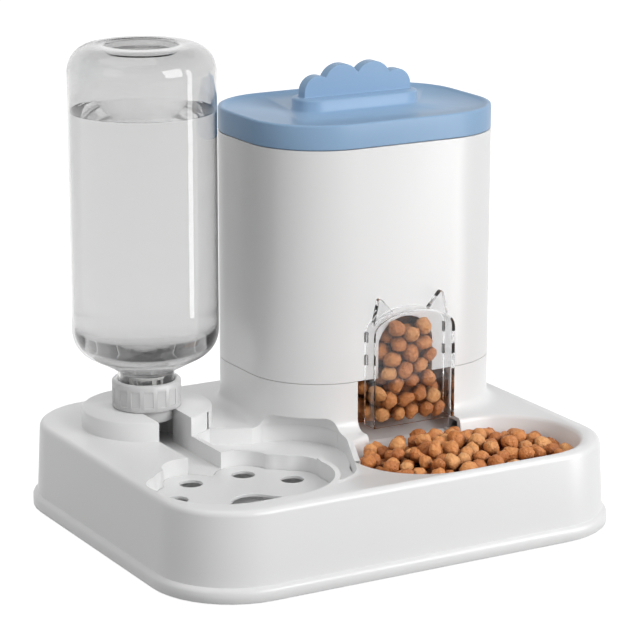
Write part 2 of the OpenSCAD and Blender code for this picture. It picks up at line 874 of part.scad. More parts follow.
// Half section of the bottle at a wall depth, from its mouth up to its flat end
function bottle_section(depth, low) =
    let (
        body = bottle_r - depth,
        neck = neck_r - depth,
        round_r = 16 - depth,
        shoulder_r = 18 - depth,
        end = bottle_top_h - depth
    )
    concat(
        [[neck, low], [neck, cap_top + 5.5]],
        arc_points(body - shoulder_r, bottle_low_h + 1, shoulder_r, -62, 0, 6),
        arc_points(body - round_r, end - round_r, round_r, 0, 90, 6)
    );

module bottle() {
    punt_r = 20;
    punt = 4;
    ring_r = neck_r + 2;
    color([0.8, 0.88, 0.95, 0.3]) translate([pool_x, seat_y, 0]) {
        rotate_extrude() difference() {
            union() {
                polygon(concat([[0, mouth_h]], bottle_section(0, mouth_h), [[0, bottle_top_h]]));
                translate([0, cap_top + 1.2]) square([ring_r, 1.8]);
            }
            polygon(concat([[0, mouth_h - 1]], bottle_section(bottle_t, mouth_h - 1),
                [[punt_r + 4, bottle_top_h - bottle_t], [punt_r, bottle_top_h - bottle_t - punt],
                    [0, bottle_top_h - bottle_t - punt]]));
            polygon([[0, bottle_top_h + 1], [punt_r + 3, bottle_top_h + 1],
                [punt_r + 3, bottle_top_h], [punt_r, bottle_top_h - punt], [0, bottle_top_h - punt]]);
        }
    }
}

module water() {
    depth = bottle_t + 0.2;
    low = cage_top + 2;
    color([0.8, 0.9, 1, 0.3]) translate([pool_x, seat_y, 0]) rotate_extrude() intersection() {
        polygon(concat([[0, low]], bottle_section(depth, low), [[0, bottle_top_h - depth]]));
        square([bottle_r, water_h]);
    }
}

// Cap: a panelled skirt, a floor with the valve hole, a collar for the seat and inside it a nozzle,
// whose lower end sets the water level in the pool
module bottle_cap() {
    edge = 1;
    thread_r = neck_r + 0.5;
    panels = 16;
    color("white") translate([pool_x, seat_y, 0]) difference() {
        rotate_extrude() polygon([
            [valve_hole_r, cap_floor_low],
            [nozzle_r - 1.4, cap_floor_low],
            [nozzle_r - 1.4, nozzle_low],
            [nozzle_r, nozzle_low],
            [nozzle_r, cap_floor_low],
            [collar_bore_r, cap_floor_low],
            [collar_bore_r, collar_low],
            [collar_r - edge, collar_low],
            [collar_r, collar_low + edge],
            [collar_r, cap_low],
            [cap_r - 0.6, cap_low],
            [cap_r, cap_low + 0.6],
            [cap_r, cap_top - edge],
            [cap_r - edge, cap_top],
            [thread_r + 0.6, cap_top],
            [thread_r, cap_top - 0.6],
            [thread_r, washer_low],
            [collar_bore_r, washer_low],
            [collar_bore_r, cap_floor_top],
            [valve_hole_r, cap_floor_top]
        ]);
        for (k = [0 : panels - 1])
            rotate(360 * k / panels)
                translate([cap_r - 0.5, -2.7, cap_low + 3])
                    cube([2, 5.4, cap_top - cap_low - 7]);
    }
}

module cap_washer() {
    color("lightgray") translate([pool_x, seat_y, washer_low]) difference() {
        cylinder(r = neck_r + 0.2, h = washer_t);
        translate([0, 0, -1]) cylinder(r = collar_bore_r, h = washer_t + 2);
    }
}

// Cage that holds the spring's upper end over the valve
module valve_cage() {
    foot_r = collar_bore_r - 0.1;
    leg_r = head_r + 2;
    color("white") translate([pool_x, seat_y, 0]) {
        translate([0, 0, cap_floor_top]) difference() {
            cylinder(r = foot_r, h = 1.2);
            translate([0, 0, -1]) cylinder(r = head_r + 1, h = 4);
        }
        translate([0, 0, cage_top - 1.4]) difference() {
            cylinder(r = leg_r + 1.2, h = 1.4);
            translate([0, 0, -1]) cylinder(r = stem_r + gap, h = 4);
        }
        for (a = [0 : 90 : 270])
            rotate(a) translate([leg_r - 0.8, -1.5, cap_floor_top])
                cube([1.8, 3, cage_top - cap_floor_top - 0.5]);
    }
}

module valve_plunger() {
    spigot_r = 2.6;
    color("white") translate([pool_x, seat_y, 0]) rotate_extrude() polygon([
        [0, post_top],
        [stem_r + 0.8, post_top],
        [stem_r + 0.8, post_top + 1],
        [stem_r, post_top + 1.6],
        [stem_r, head_low],
        [head_r, head_low],
        [head_r, head_low + head_t],
        [spigot_r, head_low + head_t],
        [spigot_r, head_low + head_t + 4],
        [0, head_low + head_t + 4]
    ]);
}

module valve_seal() {
    color("dimgray") translate([pool_x, seat_y, head_low - seal_t]) difference() {
        cylinder(r = head_r - 0.4, h = seal_t);
        translate([0, 0, -1]) cylinder(r = stem_r, h = seal_t + 2);
    }
}

// Compression spring between the plunger's head and the cage
module valve_spring() {
    wire = 0.8;
    coil_r = 4.2;
    turns = 5;
    sides = 6;
    per_turn = 14;
    low = head_low + head_t + wire / 2;
    high = cage_top - 1.4 - wire / 2;
    steps = turns * per_turn;
    rings = [for (i = [0 : steps])
        let (a = 360 * i / per_turn, z = low + (high - low) * i / steps)
        [for (k = [0 : sides - 1])
            let (b = 360 * k / sides, r = coil_r + wire / 2 * cos(b))
            [r * cos(a), r * sin(a), z + wire / 2 * sin(b)]]];
    color("silver") translate([pool_x, seat_y, 0]) loft(rings);
}

tray();
bin_stub();
bottle_seat();
foot_front_left();
foot_front_right();
foot_back_left();
foot_back_right();
paw_plate();
bin();
outlet_cover();
lid();
bin_food();
bowl_food();
bottle();
water();
bottle_cap();
cap_washer();
valve_cage();
valve_plunger();
valve_seal();
valve_spring();
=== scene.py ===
# %% [markdown]
# # A pet feeder, dressed for its photograph
# The object is a white tray with a food bowl and a paw-shaped drinking pool. A food bin with a
# clear outlet cover stands on it, and a bottle stands upside down in its seat. The exact solids
# come packed as a fixed frame. This lesson gives them their looks: soft edges on the mouldings,
# clear walls, water, and hundreds of pieces of dry food.

# %% Load the frame
from math import cos, pi, radians, sin, sqrt

import bmesh
import bpy
import numpy as np
from mathutils import Matrix, Vector


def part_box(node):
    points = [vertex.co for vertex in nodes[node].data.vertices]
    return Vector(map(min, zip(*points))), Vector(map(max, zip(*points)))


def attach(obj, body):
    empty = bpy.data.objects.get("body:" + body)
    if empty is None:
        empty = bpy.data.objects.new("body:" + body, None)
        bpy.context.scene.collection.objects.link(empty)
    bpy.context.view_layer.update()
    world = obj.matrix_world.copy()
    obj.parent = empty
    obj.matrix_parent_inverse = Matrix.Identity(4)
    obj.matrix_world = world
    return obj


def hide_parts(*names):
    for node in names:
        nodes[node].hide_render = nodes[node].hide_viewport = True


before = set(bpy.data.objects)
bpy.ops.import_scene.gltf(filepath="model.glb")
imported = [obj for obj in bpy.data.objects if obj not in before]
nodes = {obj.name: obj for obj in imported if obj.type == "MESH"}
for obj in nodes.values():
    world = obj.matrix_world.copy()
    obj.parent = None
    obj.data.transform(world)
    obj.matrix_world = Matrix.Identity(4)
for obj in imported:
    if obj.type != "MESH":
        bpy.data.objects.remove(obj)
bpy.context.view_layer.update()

MM = 0.001

# %% [markdown]
# ## Measures from the frame
# Every piece is placed from the boxes of the solids, so that little has to be fitted by eye.
# The few heights that a box can't tell, such as the seam under the bin, are written in millimetres.

# %% Measures
bin_low, bin_high = (Vector(corner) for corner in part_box("bin"))
bottle_low, bottle_high = (Vector(corner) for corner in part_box("bottle"))
cover_low, _ = (Vector(corner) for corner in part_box("outlet_cover"))
seam_z = 83.5 * MM
bin_mid_x = (bin_low.x + bin_high.x) / 2
bin_front_y = bin_low.y
bottle_axis = Vector(((bottle_low.x + bottle_high.x) / 2, (bottle_low.y + bottle_high.y) / 2, 0))
print("bin front at y", round(bin_front_y / MM, 1), "mm; bottle axis", bottle_axis[:2])

# %% [markdown]
# ## The camera
# The photograph was taken from the front left with a long lens, a little above the lid. The
# camera looks along a line that passes close to the middle of the object. Building its axes
# by hand, instead of tracking a target, keeps its small roll and its slight offset.

# %% Camera
FOCAL_PX = 2758.4
IMAGE_PX = 640
SENSOR_MM = 36
CLIP_END = 20
view_turn, view_rise, view_roll = radians(-29.85), radians(14.80), radians(0.07)
view_target = Vector((0, 0, 115.4)) * MM
view_distance = 1654.9 * MM
view_offset = (1.63 * MM, 4.68 * MM)

backward = Vector((sin(view_turn) * cos(view_rise), -cos(view_turn) * cos(view_rise), sin(view_rise)))
right = (-backward).cross(Vector((0, 0, 1))).normalized()
up = right.cross(-backward)
right, up = (right * cos(view_roll) + up * sin(view_roll), up * cos(view_roll) - right * sin(view_roll))
eye = view_target + backward * view_distance + right * view_offset[0] + up * view_offset[1]

camera_data = bpy.data.cameras.new("photo_camera")
camera_data.sensor_width = SENSOR_MM
camera_data.lens = FOCAL_PX * SENSOR_MM / IMAGE_PX
camera_data.clip_end = CLIP_END
camera = bpy.data.objects.new("photo_camera", camera_data)
camera.matrix_world = Matrix.Translation(eye) @ Matrix((right, up, backward)).transposed().to_4x4()
bpy.context.collection.objects.link(camera)
bpy.context.scene.camera = camera
print("camera at", [round(v, 3) for v in eye], "lens", round(camera_data.lens, 1), "mm")

# %% [markdown]
# ## Small helpers for node trees
# Materials, the world and the food all come from node trees. Three helpers keep them short:
# one fills a socket with a number or with another socket, one makes a math node, and one
# stretches a value to a new range.

# %% Sockets, sums and ranges
def link(tree, source, target):
    """Joins two sockets of a node tree."""
    tree.links.new(source, target)


def feed(tree, socket, value):
    """Links another socket to this one, or writes a plain number in it."""
    if isinstance(value, bpy.types.NodeSocket):
        link(tree, value, socket)
    else:
        socket.default_value = value


def calculate(tree, operation, *values, clamp=False):
    """A math node on sockets or numbers."""
    node = tree.nodes.new("ShaderNodeMath")
    node.operation = operation
    node.use_clamp = clamp
    for socket, value in zip(node.inputs, values):
        feed(tree, socket, value)
    return node.outputs[0]


def spread(tree, value, low, high, start=0.0, end=1.0):
    """Maps a value between start and end to the range low to high."""
    node = tree.nodes.new("ShaderNodeMapRange")
    for name, given in (("Value", value), ("From Min", start), ("From Max", end),
            ("To Min", low), ("To Max", high)):
        feed(tree, node.inputs[name], given)
    return node.outputs["Result"]


print("helpers: link, feed, calculate, spread")

# %% [markdown]
# ## The studio
# A product photo has a seamless white ground. A room full of light could give it, but would
# flood the object too. So the world and the floor are white only to the rays that look: those
# from the camera, and those that a gloss or a clear wall sends on. A dark ceiling draws the
# rims of the clear pieces. To a matt surface the world is a soft grey light.

# %% Rays that look, and rays that carry light
def seen_directly(tree):
    """1 for camera, glossy and transmission rays, 0 for rays that carry light to a matt surface."""
    path = tree.nodes.new("ShaderNodeLightPath")
    sent_on = calculate(tree, "MAXIMUM", path.outputs["Is Glossy Ray"], path.outputs["Is Transmission Ray"])
    looking = calculate(tree, "MAXIMUM", path.outputs["Is Camera Ray"], sent_on)
    straight = calculate(tree, "LESS_THAN", path.outputs["Diffuse Depth"], 0.5)
    return calculate(tree, "MULTIPLY", looking, straight)


def through_clear_walls(tree):
    """1 for light that reaches a matt surface through clear walls, where the lamps shine already."""
    path = tree.nodes.new("ShaderNodeLightPath")
    return calculate(tree, "MULTIPLY", path.outputs["Is Transmission Ray"],
        path.outputs["Diffuse Depth"], clamp=True)


# %% World
AMBIENT = 0.34
CEILING_GLOW = 0.1
ceiling_from, ceiling_to = 0.35, 0.9

world = bpy.data.worlds.new("white_studio")
bpy.context.scene.world = world
world.use_nodes = True
tree = world.node_tree
tree.nodes.clear()
sky = tree.nodes.new("ShaderNodeBackground")
sky.inputs["Color"].default_value = (1, 1, 1, 1)
direction = tree.nodes.new("ShaderNodeTexCoord")
rise = tree.nodes.new("ShaderNodeSeparateXYZ")
link(tree, direction.outputs["Generated"], rise.inputs["Vector"])
ceiling = spread(tree, rise.outputs["Z"], 1.0, CEILING_GLOW, ceiling_from, ceiling_to)
brightness = spread(tree, seen_directly(tree), AMBIENT, ceiling)
counted_once = calculate(tree, "SUBTRACT", brightness, through_clear_walls(tree), clamp=True)
link(tree, counted_once, sky.inputs["Strength"])
link(tree, sky.outputs[0], tree.nodes.new("ShaderNodeOutputWorld").inputs["Surface"])
bpy.context.scene.view_settings.view_transform = "Standard"
print("world: white to the camera,", AMBIENT, "as a light")

# %% [markdown]
# ## The floor
# The floor has a matt paint and a glow of its own. The glow is only there for the rays that
# look, so the ground turns white and still keeps the object's shadow.

# %% Floor
FLOOR_TONE = 0.34
FLOOR_GLOW = 0.95
FLOOR_SIZE = 12
FLOOR_GAP = 0.4 * MM

bpy.ops.mesh.primitive_plane_add(size=FLOOR_SIZE, location=(0, 0, -FLOOR_GAP))
floor = bpy.context.object
floor.name = "floor"
floor_paint = bpy.data.materials.new("floor_paint")
floor_paint.use_nodes = True
tree = floor_paint.node_tree
tree.nodes.clear()
matt = tree.nodes.new("ShaderNodeBsdfDiffuse")
matt.inputs["Color"].default_value = (FLOOR_TONE, FLOOR_TONE, FLOOR_TONE, 1)
glow = tree.nodes.new("ShaderNodeEmission")
link(tree, spread(tree, seen_directly(tree), 0.0, FLOOR_GLOW), glow.inputs["Strength"])
paint_and_glow = tree.nodes.new("ShaderNodeAddShader")
link(tree, matt.outputs[0], paint_and_glow.inputs[0])
link(tree, glow.outputs[0], paint_and_glow.inputs[1])
link(tree, paint_and_glow.outputs[0], tree.nodes.new("ShaderNodeOutputMaterial").inputs["Surface"])
floor.data.materials.append(floor_paint)
print("floor:", FLOOR_SIZE, "m wide")

# %% [markdown]
# ## The lamps
# The front and the right side of the real object are bright and its left side falls into
# shade, so the key light is a large soft panel at the front right. Weak panels above and on
# the left keep the shade open. A narrow strip shows only in gloss and in clear walls, where
# it draws the long streak down the bottle.

# %% Lamps
def soft_panel(name, place, aim, width, height, watts):
    """A rectangular area lamp that looks from place to aim."""
    lamp = bpy.data.lights.new(name, "AREA")
    lamp.shape = "RECTANGLE"
    lamp.size = width
    lamp.size_y = height
    lamp.energy = watts
    holder = bpy.data.objects.new(name, lamp)
    holder.location = place
    holder.rotation_euler = (Vector(aim) - Vector(place)).to_track_quat("-Z", "Y").to_euler()
    holder.visible_transmission = False
    bpy.context.collection.objects.link(holder)
    return holder


middle = (0, 0, 0.12)
soft_panel("key_panel", (0.75, -1.75, 1.0), middle, width=1.1, height=1.1, watts=29.5)
soft_panel("top_panel", (-0.4, 0.1, 1.7), middle, width=1.4, height=1.4, watts=7.5)
soft_panel("left_panel", (-1.5, -0.3, 1.0), middle, width=0.8, height=0.8, watts=2)
streak = soft_panel("streak_strip", (0.30, -0.28, 0.24), (-0.08, 0.02, 0.24), width=0.08,
    height=0.48, watts=0.8)
streak.visible_camera = streak.visible_diffuse = False
print("three soft panels and a strip")

# %% [markdown]
# ## Moulded plastic
# The mouldings are one glossy white plastic. Real mouldings are never quite even: the gloss
# changes a little from place to place, and the surface has a very fine texture. Both come
# from noise in object coordinates, in metres, so that they have their true size.

# %% Parts of a material
def new_material(name):
    """A material with a bare Principled shader; returns it, its tree and the shader."""
    material = bpy.data.materials.new(name)
    material.use_nodes = True
    tree = material.node_tree
    tree.nodes.clear()
    shader = tree.nodes.new("ShaderNodeBsdfPrincipled")
    link(tree, shader.outputs[0], tree.nodes.new("ShaderNodeOutputMaterial").inputs["Surface"])
    return material, tree, shader


def noise(tree, per_metre, detail=2.0):
    """Noise over the piece itself, with so many patches in a metre."""
    place = tree.nodes.new("ShaderNodeTexCoord")
    pattern = tree.nodes.new("ShaderNodeTexNoise")
    pattern.inputs["Scale"].default_value = per_metre
    pattern.inputs["Detail"].default_value = detail
    link(tree, place.outputs["Object"], pattern.inputs["Vector"])
    return pattern.outputs["Fac"]


def two_tones(tree, value, dark, light):
    """A colour between dark and light."""
    ramp = tree.nodes.new("ShaderNodeValToRGB")
    first, last = ramp.color_ramp.elements
    first.position, last.position = 0.3, 0.7
    first.color, last.color = (*dark, 1), (*light, 1)
    link(tree, value, ramp.inputs["Fac"])
    return ramp.outputs["Color"]


def bump(tree, shader, height, distance, strength):
    """Raises the surface by height, in metres of distance."""
    node = tree.nodes.new("ShaderNodeBump")
    node.inputs["Distance"].default_value = distance
    node.inputs["Strength"].default_value = strength
    link(tree, height, node.inputs["Height"])
    link(tree, node.outputs["Normal"], shader.inputs["Normal"])


# %% Plastic and rubber
TONE_PATCHES, GLOSS_PATCHES, GRAIN_DOTS = 5, 60, 1800
GRAIN_STRENGTH = 0.35


def grey(tone):
    """A colour without hue."""
    return (tone, tone, tone)


def plastic(name, dark, light, gloss, grain=0.00002):
    """Moulded plastic: a slightly uneven colour and gloss, and a fine grain."""
    material, tree, shader = new_material(name)
    link(tree, two_tones(tree, noise(tree, TONE_PATCHES, 1), dark, light), shader.inputs["Base Color"])
    link(tree, spread(tree, noise(tree, GLOSS_PATCHES, 3), *gloss), shader.inputs["Roughness"])
    bump(tree, shader, noise(tree, GRAIN_DOTS, 1), grain, GRAIN_STRENGTH)
    return material


white_plastic = plastic("white_plastic", grey(0.80), grey(0.812), (0.28, 0.33))
plate_plastic = plastic("plate_plastic", grey(0.74), grey(0.76), (0.28, 0.33))
cap_plastic = plastic("cap_plastic", grey(0.62), grey(0.64), (0.28, 0.36))
valve_plastic = plastic("valve_plastic", (0.72, 0.72, 0.70), (0.78, 0.78, 0.76), (0.4, 0.55))
blue_plastic = plastic("blue_plastic", (0.265, 0.410, 0.600), (0.275, 0.425, 0.615), (0.3, 0.38))
blue_plastic.node_tree.nodes["Principled BSDF"].inputs["Specular IOR Level"].default_value = 0.2
foot_rubber = plastic("foot_rubber", (0.045, 0.045, 0.048), (0.06, 0.06, 0.064), (0.7, 0.9), 0.00006)
seal_rubber = plastic("seal_rubber", (0.25, 0.25, 0.26), (0.3, 0.3, 0.31), (0.5, 0.65), 0.00004)
print("mouldings and rubber: 7 materials")

# %% [markdown]
# ## Clear walls and water
# The cover and the bottle are clear plastic with a true wall thickness, so one transmission
# shader with an index of refraction does the bending of light. The water is a second solid
# inside, with its own lower index. Some grey in the colour gives the tone that the photo
# shows against white.

# %% Clear materials
WAVE_STRENGTH = 0.5


def clear(name, colour, index, gloss, wave_height=0.0, waves_per_metre=26):
    """A clear solid, with faint waves in its surface as blown plastic has."""
    material, tree, shader = new_material(name)
    shader.inputs["Base Color"].default_value = (*colour, 1)
    shader.inputs["Transmission Weight"].default_value = 1.0
    shader.inputs["IOR"].default_value = index
    link(tree, spread(tree, noise(tree, 40, 2), *gloss), shader.inputs["Roughness"])
    if wave_height:
        bump(tree, shader, noise(tree, waves_per_metre, 1), wave_height, WAVE_STRENGTH)
    return material


clear_plastic = clear("clear_plastic", (0.86, 0.865, 0.87), 1.38, (0.0, 0.012), 0.00012, 30)
bottle_plastic = clear("bottle_plastic", grey(0.735), 1.45, (0.0, 0.02), 0.0004)
water_look = clear("water", grey(0.985), 1.3, (0.0, 0.01))
print("clear plastic, bottle and water")

# %% [markdown]
# ## Dry food
# A baked piece of food is dull, pitted and darker where it is more baked. Each piece gets a
# tone of its own, which Geometry Nodes stores as an attribute, and noise adds specks and pits.
# An Ambient Occlusion node paints shade into the colour: a dark colour in the hollows of the heap, where
# little light gets in.

# %% Food material
# The first colour is painted shade, mixed into the hollows of the heap where shade falls.
PAINTED_SHADE, DARK_BAKED = (0.10, 0.024, 0.006), (0.38, 0.10, 0.017)
BAKED, PALE_BAKED = (0.74, 0.28, 0.078), (0.98, 0.54, 0.22)
tone_share, speck_share = 0.55, 0.45
specks_per_metre, pits_per_metre = 320, 420
pit_depth, pit_strength = 0.0024, 0.9
painted_shade_reach = 5 * MM

dry_food, tree, shader = new_material("dry_food")
piece_tone = tree.nodes.new("ShaderNodeAttribute")
piece_tone.attribute_name = "tone"
specks = spread(tree, noise(tree, specks_per_metre, 3), 0.0, speck_share)
how_pale = calculate(tree, "MULTIPLY_ADD", piece_tone.outputs["Fac"], tone_share, specks)
crust = tree.nodes.new("ShaderNodeValToRGB")
crust.color_ramp.elements[0].color = (*DARK_BAKED, 1)
crust.color_ramp.elements[1].color = (*PALE_BAKED, 1)
crust.color_ramp.elements.new(0.5).color = (*BAKED, 1)
link(tree, how_pale, crust.inputs["Fac"])

# Painted shade: Ambient Occlusion mixes the dark colour in where the pieces crowd together.
painted_shade_ao = tree.nodes.new("ShaderNodeAmbientOcclusion")
painted_shade_ao.samples = 6
painted_shade_ao.only_local = True
painted_shade_ao.inputs["Distance"].default_value = painted_shade_reach
shaded = tree.nodes.new("ShaderNodeMix")
shaded.data_type = "RGBA"
shaded.inputs["A"].default_value = (*PAINTED_SHADE, 1)
link(tree, painted_shade_ao.outputs["AO"], shaded.inputs["Factor"])
link(tree, crust.outputs["Color"], shaded.inputs["B"])
link(tree, shaded.outputs["Result"], shader.inputs["Base Color"])
link(tree, spread(tree, noise(tree, 500, 2), 0.40, 0.65), shader.inputs["Roughness"])
bump(tree, shader, noise(tree, pits_per_metre, 5), pit_depth, pit_strength)
print("dry food:", len(tree.nodes), "nodes")

# %% [markdown]
# ## Spring steel
# The valve's spring is bare wire. A metal needs no colour but its own reflection, so a full
# metallic value and a fine, uneven gloss are enough.

# %% Steel material
spring_steel, tree, shader = new_material("spring_steel")
shader.inputs["Metallic"].default_value = 1.0
link(tree, two_tones(tree, noise(tree, 300), (0.5, 0.5, 0.52), (0.66, 0.67, 0.69)),
    shader.inputs["Base Color"])
link(tree, spread(tree, noise(tree, 900, 2), 0.25, 0.4), shader.inputs["Roughness"])
print("spring steel")

# %% [markdown]
# ## Mouldings with soft edges
# A solid from CAD has knife-sharp edges, and no moulding has. A merged copy of the node gets
# smooth faces, and a Bevel modifier rounds every edge that turns more than the given angle.
# The copy then stands for the node, which stays in the frame for collision.

# %% Cleaned copies
def tidy_mesh(mesh, join=0.002 * MM):
    """Joins the loose triangles of a mesh, cleans its flat faces and shades it smooth."""
    work = bmesh.new()
    work.from_mesh(mesh)
    bmesh.ops.remove_doubles(work, verts=work.verts, dist=join)
    bmesh.ops.dissolve_limit(work, angle_limit=radians(0.4), verts=work.verts, edges=work.edges)
    for face in work.faces:
        face.smooth = True
    work.to_mesh(mesh)
    work.free()


def new_piece(name, mesh):
    """Puts a mesh in the scene as a piece."""
    piece = bpy.data.objects.new(name, mesh)
    bpy.context.collection.objects.link(piece)
    return piece


def merged_copy(node, name):
    """A cleaned copy of a node's mesh."""
    mesh = nodes[node].data.copy()
    mesh.name = name
    tidy_mesh(mesh)
    return new_piece(name, mesh)


# %% Soft edges and a finish
def paint(piece, material):
    """Gives the whole piece one material."""
    piece.data.materials.clear()
    piece.data.materials.append(material)


def mark_sharp(mesh, angle):
    """Keeps edges sharp in the shading where the faces turn more than the angle."""
    work = bmesh.new()
    work.from_mesh(mesh)
    for edge in work.edges:
        if len(edge.link_faces) == 2:
            edge.smooth = edge.calc_face_angle() < angle
    work.to_mesh(mesh)
    work.free()


def moulded(node, body, material, edge_mm, turn=50, piece=None, stands_for=()):
    """A soft-edged copy of a node that rides on its body and stands for it."""
    piece = piece or merged_copy(node, node + "_moulding")
    mark_sharp(piece.data, radians(turn))
    soften = piece.modifiers.new("soft_edges", "BEVEL")
    soften.width = edge_mm * MM
    soften.segments = 2
    soften.limit_method = "ANGLE"
    soften.angle_limit = radians(turn)
    soften.harden_normals = True
    soften.use_clamp_overlap = True
    paint(piece, material)
    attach(piece, body)
    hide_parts(node, *stands_for)
    print(piece.name, len(piece.data.polygons), "faces")
    return piece


# %% [markdown]
# ## One white moulding
# The tray, the stub under the bin and the bottle's seat are three solids in the frame, but one
# moulding in the photo. A Boolean union makes them one piece without seams. Two short walls
# go in with them: one closes the niche beside the pool up to the stub, and one parts the
# pool's drip step from the bowl.

# %% Walls to add
def arc(middle, radius, start, end, steps=10):
    """Points of an arc round its middle, angles in degrees."""
    return [(middle[0] + radius * cos(radians(start + (end - start) * i / steps)),
        middle[1] + radius * sin(radians(start + (end - start) * i / steps)))
        for i in range(steps + 1)]


def wall_piece(name, outline, low, high):
    """An upright wall over an outline in millimetres, from low to high."""
    work = bmesh.new()
    foot = [work.verts.new((x * MM, y * MM, low * MM)) for x, y in outline]
    head = [work.verts.new((x * MM, y * MM, high * MM)) for x, y in outline]
    work.faces.new(foot[::-1])
    work.faces.new(head)
    for i in range(len(outline)):
        j = (i + 1) % len(outline)
        work.faces.new([foot[i], foot[j], head[j], head[i]])
    bmesh.ops.recalc_face_normals(work, faces=work.faces)
    mesh = bpy.data.meshes.new(name)
    work.to_mesh(mesh)
    work.free()
    return new_piece(name, mesh)


niche_mid = (-31, -19)
niche_in, niche_out = 35.3, 37.7
niche_low, niche_high = 43.5, 53.8
niche_wall = arc(niche_mid, niche_in, 3, 87, 28) + arc(niche_mid, niche_out, 87, 3, 28)

side_wall_t = 3.4
side_wall_turn = (0.911, -0.413)
side_wall_from, side_wall_to = (0.36, -36.0), (-15.06, -70.0)
side_low, side_high = 42.0, 53.5
side_wall = [side_wall_from, side_wall_to] + [
    (x + side_wall_t * side_wall_turn[0], y + side_wall_t * side_wall_turn[1])
    for x, y in (side_wall_to, side_wall_from)]
print("walls of", len(niche_wall), "and", len(side_wall), "corners")


# %% Union of the white pieces
def united(name, main, others, join=0.05 * MM):
    """One piece from several that touch; the others are used up."""
    for other in others:
        union = main.modifiers.new(other.name, "BOOLEAN")
        union.operation = "UNION"
        union.solver = "EXACT"
        union.object = other
    bpy.context.view_layer.update()
    made = bpy.data.meshes.new_from_object(main.evaluated_get(bpy.context.evaluated_depsgraph_get()))
    made.name = name
    for used in (main, *others):
        bpy.data.objects.remove(used)
    tidy_mesh(made, join)
    return new_piece(name, made)


white_moulding = united("tray_moulding", merged_copy("tray", "tray_part"), [
    merged_copy("bin_stub", "stub_part"),
    merged_copy("bottle_seat", "seat_part"),
    wall_piece("niche_wall", niche_wall, niche_low, niche_high),
    wall_piece("side_wall", side_wall, side_low, side_high)])
print("white moulding:", len(white_moulding.data.polygons), "faces")

# %% All mouldings
moulded("tray", "base", white_plastic, 0.8, piece=white_moulding,
    stands_for=("bin_stub", "bottle_seat"))
moulded("bin", "bin", white_plastic, 0.3)
moulded("lid", "lid", blue_plastic, 0.9)
moulded("paw_plate", "base", plate_plastic, 0.4)
moulded("bottle_cap", "bottle", cap_plastic, 0.4)
cover = moulded("outlet_cover", "bin", clear_plastic, 0.35)
cover.visible_shadow = False

# %% [markdown]
# ## Small parts
# The feet, the seals, the cage and the plunger are right as they are. They keep their nodes
# and only get a finish.

# %% Finishes on the nodes that stay
kept = {
    foot_rubber: ["foot_front_left", "foot_front_right", "foot_back_left", "foot_back_right"],
    seal_rubber: ["cap_washer", "valve_seal"],
    valve_plastic: ["valve_cage", "valve_plunger"],
    spring_steel: ["valve_spring"],
}
for material, names in kept.items():
    for name in names:
        paint(nodes[name], material)
print("kept nodes:", sum(len(names) for names in kept.values()))

# %% [markdown]
# ## The bottle and its water
# A blown bottle is a turned form: one profile, spun round its axis. The profile runs up the
# outside, over the flat end with its recess, and back down the inside, so the wall is real.
# The straight wall has a ring close to each of its ends, which keeps its shading straight.
# The water is a second profile a hair inside the wall. Lamps shine through both of them.

# %% Turned pieces
def turned(name, profile, steps=128):
    """Spins a closed profile of (radius, height) points round the bottle's axis."""
    work = bmesh.new()
    rings = []
    for radius, height in profile:
        if radius < 1e-7:
            rings.append([work.verts.new((bottle_axis.x, bottle_axis.y, height))])
        else:
            rings.append([work.verts.new((bottle_axis.x + radius * cos(2 * pi * i / steps),
                bottle_axis.y + radius * sin(2 * pi * i / steps), height)) for i in range(steps)])
    for low, high in zip(rings, rings[1:]):
        for i in range(steps):
            j = (i + 1) % steps
            corners = [low[i % len(low)], low[j % len(low)], high[j % len(high)], high[i % len(high)]]
            work.faces.new(list(dict.fromkeys(corners)))
    if len(rings[0]) > 1 and len(rings[-1]) > 1:
        for i in range(steps):
            j = (i + 1) % steps
            work.faces.new([rings[-1][i], rings[-1][j], rings[0][j], rings[0][i]])
    bmesh.ops.recalc_face_normals(work, faces=work.faces)
    for face in work.faces:
        face.smooth = True
    mesh = bpy.data.meshes.new(name)
    work.to_mesh(mesh)
    work.free()
    mark_sharp(mesh, radians(40))
    return new_piece(name, mesh)


# %% Bottle
body_r = (bottle_high.x - bottle_low.x) / 2
mouth_z, end_z = bottle_low.z, bottle_high.z
wall_t = 1.1 * MM
neck_r = 17.2 * MM
neck_top_z = 87.7 * MM
shoulder_z = 113.0 * MM
shoulder_r, end_r = 18 * MM, 16 * MM
recess_r, recess_depth = 20 * MM, 4 * MM
recess_z = end_z - recess_depth


def bottle_wall(depth, low_z):
    """The profile of the wall at a depth below the outer face, from the mouth to the end."""
    straight = [(body_r - depth, z) for z in (shoulder_z + 0.5 * MM, shoulder_z + 2 * MM,
        end_z - end_r - 2 * MM, end_z - end_r - 0.5 * MM)]
    return ([(neck_r - depth, low_z), (neck_r - depth, neck_top_z)]
        + arc((body_r - shoulder_r, shoulder_z), shoulder_r - depth, -62, 0) + straight
        + arc((body_r - end_r, end_z - end_r), end_r - depth, 0, 90, 12))


recess_outside = [(recess_r + 3 * MM, end_z), (recess_r + 1.5 * MM, end_z - 1.2 * MM),
    (recess_r, recess_z), (0, recess_z)]
recess_inside = [(recess_r + 4 * MM, end_z - wall_t), (recess_r + 2 * MM, end_z - 2.2 * MM),
    (recess_r - 0.5 * MM, recess_z - wall_t), (0, recess_z - wall_t)]
outside = bottle_wall(0, mouth_z) + recess_outside
inside = bottle_wall(wall_t, mouth_z) + recess_inside
bottle = turned("bottle_shell", list(reversed(outside)) + inside)
paint(bottle, bottle_plastic)
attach(bottle, "bottle")
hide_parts("bottle")
bottle.visible_shadow = False
print("bottle", len(bottle.data.polygons), "faces")

